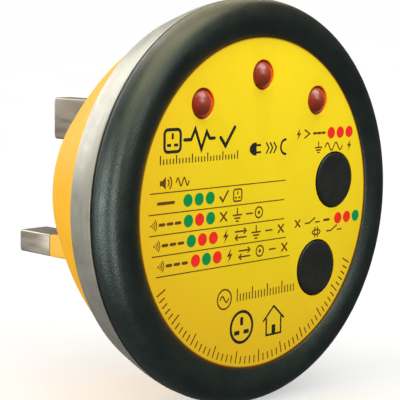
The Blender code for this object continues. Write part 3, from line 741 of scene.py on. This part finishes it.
def housing_screw(node):
    """A pan head with a cross recess on a threaded shank."""
    low, high = span(node)
    top, head_radius, head_height = high.y, 2.75, 1.3
    under = top - head_height
    core, crest, pitch = 1.0, 1.25, 0.8
    outline = [(0.0, top)]
    outline += curve([(1.6, top), (2.3, top - 0.18), (2.68, top - 0.6), (head_radius, top - 1.0)], 4)
    outline += [(head_radius, under), (1.1, under)]
    y = under - 0.6
    while y > low.y + 1.2:
        outline += [(core, y), (crest, y - pitch / 2), (core, y - pitch)]
        y -= pitch
    outline += [(0.9, low.y + 0.6), (0.4, low.y), (0.0, low.y)]
    place = centre_of(node)
    screw = turned(f"{node}_zinc", outline, place, SMALL)
    turn = 25 + 40 * int(node[-1])
    recess = [(level, rotated(plus_shape(length, width), turn, *place))
              for level, length, width in ((top + 0.5, 3.3, 0.75), (top - 0.75, 1.9, 0.4))]
    combine(screw, "DIFFERENCE", loft(f"{node}_recess", recess))
    assign(screw, STEEL, "housing", "screw_steel", node)


# Printing on the label: plain pictographs and marks, in (x, z) millimetres on the label's face

class Ink:
    """Marks of one colour, gathered in one mesh that stands a hair proud of the label."""

    def __init__(self, name, material):
        self.name = name
        self.material = material
        self.shape = bmesh.new()
        self.marks = 0

    def levels(self):
        """Front and back of the next mark. Marks that cross differ a little in height."""
        self.marks += 1
        return LABEL_FRONT - 0.016 - 0.0015 * (self.marks % 6), LABEL_FRONT + 0.02

    def patch(self, outline):
        front, back = self.levels()
        add_loft(self.shape, [(front, outline), (back, outline)])

    def dot(self, x, z, radius):
        self.patch(circle(radius, 40, x, z))

    def stroke(self, path, width, closed=False):
        """A line of even width with round ends, or a closed loop."""
        points = [Vector(p) for p in path]
        count = len(points)
        half = width / 2
        rails = []
        for i, point in enumerate(points):
            ways = []
            if closed or i > 0:
                ways.append((point - points[i - 1]).normalized())
            if closed or i < count - 1:
                ways.append((points[(i + 1) % count] - point).normalized())
            along = sum(ways, Vector((0.0, 0.0))).normalized()
            across = Vector((-along.y, along.x))
            lean = max(0.4, across.dot(Vector((-ways[0].y, ways[0].x))))
            rails.append((point, along, across, half / lean))
        if not closed:
            rails = self.round_end(rails[0], half, -1)[::-1] + rails + self.round_end(rails[-1], half, 1)
        front, back = self.levels()
        rings = []
        for point, along, across, reach in rails:
            left, right = point + across * reach, point - across * reach
            corners = [(left, front), (right, front), (right, back), (left, back)]
            rings.append([self.shape.verts.new(Vector((p.x, y, p.y)) * MM) for p, y in corners])
        skin(self.shape, rings, closed)

    @staticmethod
    def round_end(rail, half, side):
        point, along, across, _ = rail
        angles = [math.radians(a) for a in (30, 60, 82)]
        return [(point + along * side * half * math.sin(a), along, across, half * math.cos(a))
                for a in angles]

    def line(self, x0, z0, x1, z1, width):
        self.stroke([(x0, z0), (x1, z1)], width)

    def arc(self, x, z, radius, start, end, width):
        steps = max(4, int(abs(end - start) / 12))
        angles = [math.radians(start + (end - start) * k / steps) for k in range(steps + 1)]
        self.stroke([(x + radius * math.cos(a), z + radius * math.sin(a)) for a in angles], width)

    def ring(self, x, z, radius, width):
        self.stroke(circle(radius, 40, x, z), width, closed=True)

    def draw(self, lines, x, z, size, width, closed=False):
        """Strokes given about the origin, scaled and moved to (x, z)."""
        for points in lines:
            self.stroke([(x + u * size, z + v * size) for u, v in points], width, closed)

    def fill(self, outlines, x, z, size):
        """Patches given about the origin, scaled and moved to (x, z)."""
        for points in outlines:
            self.patch([(x + u * size, z + v * size) for u, v in points])

    def done(self):
        assign(to_piece(self.name, self.shape), self.material, "housing", "printed_label")


def tick(pen, x, z, size, width):
    pen.draw([[(-0.45, 0.0), (-0.12, -0.4), (0.5, 0.45)]], x, z, size, width)


def cross(pen, x, z, size, width):
    pen.draw([[(-0.4, -0.4 * side), (0.4, 0.4 * side)] for side in (1, -1)], x, z, size, width)


def earth_symbol(pen, x, z, size, width):
    bars = [[(-reach, level), (reach, level)] for level, reach in ((0.0, 0.48), (-0.24, 0.30), (-0.48, 0.12))]
    pen.draw([[(0.0, 0.5), (0.0, 0.02)], *bars], x, z, size, width)


def bolt(pen, x, z, size):
    points = [(0.16, 0.52), (-0.30, -0.06), (-0.03, -0.06), (-0.18, -0.52), (0.30, 0.10), (0.03, 0.10)]
    pen.fill([points], x, z, size)


def swap(pen, x, z, size, width):
    """Two arrows that point opposite ways."""
    for side in (1, -1):
        level, tip, barb = side * 0.24, side * 0.62, side * 0.38
        head = [(barb, level + 0.2), (tip, level), (barb, level - 0.2)]
        pen.draw([[(-tip, level), (tip, level)], head], x, z, size, width)


def wave(pen, x, z, length, height, periods, width):
    count = 10 * periods
    pen.stroke([(x + length * (k / count - 0.5), z + height / 2 * math.sin(math.tau * periods * k / count))
                for k in range(count + 1)], width)


def sound(pen, x, z, size, width):
    """A dot with arcs that spread to the right."""
    pen.dot(x, z, 0.11 * size)
    for radius in (0.34, 0.6, 0.86):
        pen.arc(x, z, radius * size, -42, 42, width)


def speaker(pen, x, z, size, width):
    horn = [(-0.5, -0.17), (-0.26, -0.17), (0.05, -0.44), (0.05, 0.44), (-0.26, 0.17), (-0.5, 0.17)]
    pen.fill([horn], x, z, size)
    for radius in (0.3, 0.55):
        pen.arc(x + 0.05 * size, z, radius * size, -45, 45, width)


def socket_sign(pen, x, z, size, width):
    """A three-slot socket in a rounded frame."""
    pen.draw([rounded_rectangle(1.0, 1.0, 0.2)], x, z, size, width, closed=True)
    slots = [rounded_rectangle(0.13, 0.27, 0.03, 0.0, 0.2)]
    slots += [rounded_rectangle(0.25, 0.13, 0.03, side * 0.22, -0.2) for side in (-1, 1)]
    pen.fill(slots, x, z, size)


def plug_sign(pen, x, z, size):
    """A plug seen from the side, with its pins to the right."""
    body = [(-0.55, -0.16), (-0.55, 0.16), (-0.25, 0.42), (0.18, 0.5), (0.18, -0.5), (-0.25, -0.42)]
    body = rounded([(*p, 0.1) for p in body], closed=True)
    prongs = [rounded_rectangle(0.46, 0.15, 0.04, 0.42, level) for level in (0.26, -0.26)]
    pen.fill([body, *prongs], x, z, size)


def toroid(pen, x, z, size, width):
    """A balance transformer: an oval round two conductors."""
    pen.draw([[(0.62 * u, 0.26 * v) for u, v in circle(1.0, 32)]], x, z, size, width, closed=True)
    pen.draw([[(step, -0.5), (step, 0.5)] for step in (-0.22, 0.22)], x, z, size, width)


def open_switch(pen, x, z, size, width):
    lines = [[(-0.9, 0.0), (-0.4, 0.0)], [(-0.4, 0.0), (0.3, 0.36)], [(0.4, 0.0), (0.9, 0.0)]]
    pen.draw(lines, x, z, size, width)


def house(pen, x, z, size, width):
    """Indoor use."""
    roof = [(-0.5, 0.05), (0.0, 0.5), (0.5, 0.05)]
    walls = [(-0.36, 0.1), (-0.36, -0.45), (0.36, -0.45), (0.36, 0.1)]
    pen.draw([roof, walls], x, z, size, width)
    pen.fill([rounded_rectangle(0.18, 0.3, 0.02, 0.0, -0.28)], x, z, size)


def scale_marks(pen, x0, x1, z, count, height, width):
    """A row of upright marks, every fifth one taller."""
    for k in range(count):
        x = x0 + (x1 - x0) * k / (count - 1)
        reach = height if k % 5 == 0 else height * 0.55
        pen.line(x, z, x, z + reach, width)


def lamp_key(inks, x, z, colours):
    """Three dots that show the colours of the lamps."""
    pitch, radius = 2.53, 1.03
    for k, colour in enumerate(colours):
        inks[colour].dot(x + pitch * k, z, radius)


def target_sign(pen, x, z, size, width):
    """A dot in a ring."""
    pen.ring(x, z, 0.42 * size, width)
    pen.dot(x, z, 0.3)


def dashes(pen, x, z, count, length, pitch, width):
    for k in range(count):
        pen.line(x + pitch * k, z, x + pitch * k + length, z, width)


def result_table(brown, inks):
    """Rules with a row of dots, a tone mark and a result between them."""
    top, pitch, line_width = 3.6, 3.325, 0.17
    for row in range(5):
        z = top - pitch * row
        start = 2.25 - math.sqrt(SEEN_RADIUS ** 2 - z ** 2)
        brown.line(start, z, 5.7 + 0.02 * (z + 0.5) ** 2, z, line_width)
    middles = [top - pitch * (row + 0.485) for row in range(4)]
    for (x, colours), z in zip(((-17.46, "ggg"), (-17.3, "grg"), (-16.6, "grr"), (-15.6, "rgr")), middles):
        lamp_key(inks, x, z, colours)
    speaker(brown, -22.5, top + 1.5, 2.3, 0.24)
    wave(brown, -18.7, top + 1.5, 2.8, 1.3, 2, 0.24)
    rows = [z - 0.05 for z in middles]
    brown.line(-24.0, rows[0], -20.6, rows[0], 0.5)
    for z, x in zip(middles[1:], (-25.5, -24.8, -23.9)):
        sound(brown, x, z - 0.1, 1.45, 0.16)
        dashes(brown, x + 1.9, z - 0.1, 3, 0.95, 1.75, 0.5)
    size, width = 2.15, 0.26
    z = rows[0]
    tick(brown, -9.2, z, size * 0.9, 0.34)
    socket_sign(brown, -5.9, z, size * 0.92, width)
    z = rows[1]
    cross(brown, -9.2, z, size * 0.82, 0.32)
    earth_symbol(brown, -5.9, z, size, width)
    brown.line(-3.7, z, -2.2, z, width)
    target_sign(brown, -0.6, z, size, width)
    for z, x, last in ((rows[2], -8.6, "earth"), (rows[3], -7.6, "neutral")):
        bolt(brown, x, z, size * 1.05)
        swap(brown, x + 3.6, z, size, width)
        if last == "earth":
            earth_symbol(brown, x + 7.4, z, size, width)
        else:
            target_sign(brown, x + 7.4, z, size, width)
        brown.line(x + 9.8, z, x + 11.4, z, width)
        cross(brown, x + 13.7, z, size * 0.75, 0.32)


def header(black):
    """Bold pictographs under the lamps."""
    z = 11.7
    socket_sign(black, -21.0, z, 3.5, 0.5)
    pulse = [(-18.4, z), (-16.9, z), (-16.0, z + 1.65), (-14.6, z - 1.65), (-13.4, z + 1.1), (-12.7, z),
             (-11.6, z)]
    black.stroke(pulse, 0.52)
    tick(black, -8.6, z, 3.5, 0.6)
    scale_marks(black, -23.6, -6.1, 8.1, 26, 1.25, 0.22)
    plug_sign(black, -1.9, 9.4, 2.3)
    for k in range(3):
        x = 1.0 + 0.95 * k
        black.stroke([(x, 10.25), (x + 0.6, 9.4), (x, 8.55)], 0.3)
    black.arc(5.9, 9.4, 1.25, 90, 270, 0.4)


def button_notes(brown, inks):
    lamp_key(inks, 18.11, 11.25, "rrr")
    lamp_key(inks, 20.58, -4.24, "rrg")
    size, width = 2.0, 0.25
    z = 11.35
    bolt(brown, 9.3, z, size)
    brown.stroke([(10.9, z + 0.7), (12.2, z), (10.9, z - 0.7)], 0.28)
    dashes(brown, 13.3, z, 3, 0.7, 1.15, 0.42)
    z = 8.8
    earth_symbol(brown, 14.7, z, size * 0.95, width)
    wave(brown, 18.9, z, 4.8, 1.4, 2, width)
    bolt(brown, 23.3, z, size)
    z = -4.3
    cross(brown, 9.5, z, size * 0.75, 0.3)
    open_switch(brown, 13.5, z - 0.15, 2.15, width)
    brown.line(16.7, z, 18.1, z, 0.42)
    z = -6.25
    toroid(brown, 14.6, z, 1.7, width)
    open_switch(brown, 19.6, z - 0.1, 2.3, width)


def ratings(brown, black):
    brown.ring(-8.7, -15.3, 1.65, 0.28)
    wave(brown, -8.7, -15.3, 2.0, 1.1, 1, 0.26)
    scale_marks(brown, -5.6, 8.7, -16.0, 20, 2.0, 0.24)
    black.ring(-4.4, -20.6, 2.65, 0.5)
    for side in (-1, 1):
        black.patch(rounded_rectangle(1.3, 0.7, 0.15, -4.4 + side * 1.15, -21.5))
    black.patch(rounded_rectangle(0.7, 1.4, 0.15, -4.4, -19.6))
    house(black, 3.7, -20.7, 5.2, 0.34)


def rim_scale(brown):
    """A scale of short marks along the lower edge."""
    first, last, count = -152, -28, 51
    for k in range(count):
        angle = math.radians(first + (last - first) * k / (count - 1))
        reach = (25.3 if k % 5 == 0 else 26.1, 27.2)
        brown.stroke([(r * math.cos(angle), r * math.sin(angle)) for r in reach], 0.24)


def printing():
    brown = Ink("print_brown", BROWN_INK)
    black = Ink("print_black", BLACK_INK)
    inks = {"g": Ink("print_green", GREEN_INK), "r": Ink("print_red", RED_INK)}
    result_table(brown, inks)
    header(black)
    button_notes(brown, inks)
    ratings(brown, black)
    rim_scale(brown)
    for batch in (brown, black, *inks.values()):
        batch.done()


# Pieces that stay as the CAD has them

def inner_finishes():
    for part in frame["record"]["subparts"]:
        if part["material_slot"] in INNER:
            materials = frame["nodes"][part["node"]].data.materials
            materials.clear()
            materials.append(INNER[part["material_slot"]])


# Studio

def aim(thing, position, target):
    turn = (position - target).to_track_quat("Z", "Y").to_matrix().to_4x4()
    thing.matrix_world = Matrix.Translation(position) @ turn


def direction(azimuth, elevation):
    """Unit vector towards a camera or lamp at azimuth (0 looks along +Y) and elevation."""
    a, e = math.radians(azimuth), math.radians(elevation)
    return Vector((math.sin(a) * math.cos(e), -math.cos(a) * math.cos(e), math.sin(e)))


def only(name, pieces, state="INCLUDE"):
    """A set of pieces for a lamp to light: these alone, or with EXCLUDE all but these."""
    group = bpy.data.collections.new(name)
    for piece in pieces:
        group.objects.link(piece)
    for member in group.collection_objects:
        member.light_linking.link_state = state
    return group


def add_light(name, kind, strength, receivers):
    data = bpy.data.lights.new(name, kind)
    data.energy = strength
    light = bpy.data.objects.new(name, data)
    bpy.context.scene.collection.objects.link(light)
    light.light_linking.receiver_collection = receivers
    return light


def softbox(name, azimuth, elevation, distance, width, height, power, receivers, tint=(1.0, 1.0, 1.0)):
    """A panel that faces the object."""
    light = add_light(name, "AREA", power, receivers)
    light.data.shape = "RECTANGLE"
    light.data.size, light.data.size_y = width, height
    light.data.color = tint
    light.visible_camera = False
    target = Vector((0.0, JOINT_LINE * MM, 0.0))
    aim(light, target + direction(azimuth, elevation) * distance, target)


def distant(name, azimuth, elevation, strength, spread, receivers, shadows=True):
    """A very large, far-off source, whose light is the same everywhere."""
    light = add_light(name, "SUN", strength, receivers)
    light.data.angle = math.radians(spread)
    light.data.use_shadow = shadows
    aim(light, direction(azimuth, elevation), Vector())


def surroundings(fill, backdrop):
    """Dim fill light all round, and a pale backdrop where the camera looks past the floor."""
    world = bpy.data.worlds.new("studio")
    bpy.context.scene.world = world
    world.use_nodes = True
    nodes, links = world.node_tree.nodes, world.node_tree.links
    either = nodes.new("ShaderNodeMixShader")
    links.new(nodes.new("ShaderNodeLightPath").outputs["Is Camera Ray"], either.inputs["Fac"])
    shades = (nodes["Background"], nodes.new("ShaderNodeBackground"))
    for shade, colour, socket in zip(shades, (fill, backdrop), either.inputs[1:]):
        shade.inputs["Color"].default_value = (*colour, 1.0)
        links.new(shade.outputs["Background"], socket)
    links.new(either.outputs["Shader"], nodes["World Output"].inputs["Surface"])


def floor():
    level = span("rubber_bumper")[0].z - 0.05
    shape = bmesh.new()
    reach = 40.0
    corners = ((-reach, -reach), (reach, -reach), (reach, reach), (-reach, reach))
    shape.faces.new([shape.verts.new((x, y, level * MM)) for x, y in corners])
    ground = to_piece("studio_floor", shape)
    ground.data.materials.append(paper_white())
    ground.visible_diffuse = ground.visible_glossy = ground.visible_shadow = False
    return ground


def camera():
    """Looks at the label from the front left, just above the object's middle."""
    azimuth, elevation, roll = -45.125, 7.267, math.radians(0.767)
    distance, right_shift, up_shift = 0.241854, 0.011745, -0.002456
    back = direction(azimuth, elevation)
    right = Vector((0, 0, 1)).cross(back).normalized()
    axes = Matrix((right, back.cross(right), back)).transposed() @ Matrix.Rotation(roll, 3, "Z")
    data = bpy.data.cameras.new("camera")
    data.lens = 117.0
    data.sensor_width = 36.0
    data.clip_start, data.clip_end = 0.01, 100.0
    view = bpy.data.objects.new("camera", data)
    bpy.context.scene.collection.objects.link(view)
    place = axes @ Vector((right_shift, up_shift, distance))
    view.matrix_world = Matrix.Translation(place) @ axes.to_4x4()
    bpy.context.scene.camera = view


def studio():
    bpy.context.scene.view_settings.view_transform = "Standard"
    ground = floor()
    bumper = bpy.data.objects["bumper_ring"]
    ground_only = only("ground", [ground])
    goods = only("goods", [ground], "EXCLUDE")
    hard_parts = only("hard_parts", [ground, bumper], "EXCLUDE")
    rubber = only("rubber", [bumper])
    silver = only("silver", [bpy.data.objects["front_shell"]])
    surroundings((0.13, 0.135, 0.14), (0.99, 0.99, 0.99))
    for azimuth in (-120, 0, 120):
        distant("wash", azimuth, 55, 0.45, 50, ground_only)
    distant("even_wash", 0, 89, 2.1, 50, ground_only, shadows=False)
    distant("overhead", -108, 64, 1.4, 45, silver)
    distant("soft_overhead", -90, 64, 0.75, 60, hard_parts)
    distant("front", 0, 25, 1.32, 30, goods)
    distant("left", -113, 0, 2.5, 40, goods)
    softbox("label_key", 20, 60, 0.26, 0.2, 0.16, 0.75, hard_parts)
    softbox("back_key", 180, 28, 0.6, 0.4, 0.6, 1.8, goods)
    warm = (1.0, 0.83, 0.56)
    softbox("top_sheen", 144, 48, 0.5, 0.45, 0.45, 1.5, rubber, warm)
    softbox("crown_sheen", -45, 74, 0.42, 0.5, 0.5, 6.0, rubber, warm)
    softbox("left_strip", -57, -3, 0.45, 0.1, 0.42, 2.6, rubber)
    softbox("rear_strip", -108, -3, 0.45, 0.08, 0.42, 1.2, rubber)
    camera()


rear_shell()
front_shell()
bumper_ring()
label_sheet()
for lamp_side in LAMPS:
    lamp(lamp_side)
for button_name in BUTTONS:
    button(button_name)
pins()
for screw_node in HOUSING_SCREWS:
    housing_screw(screw_node)
printing()
inner_finishes()
studio()
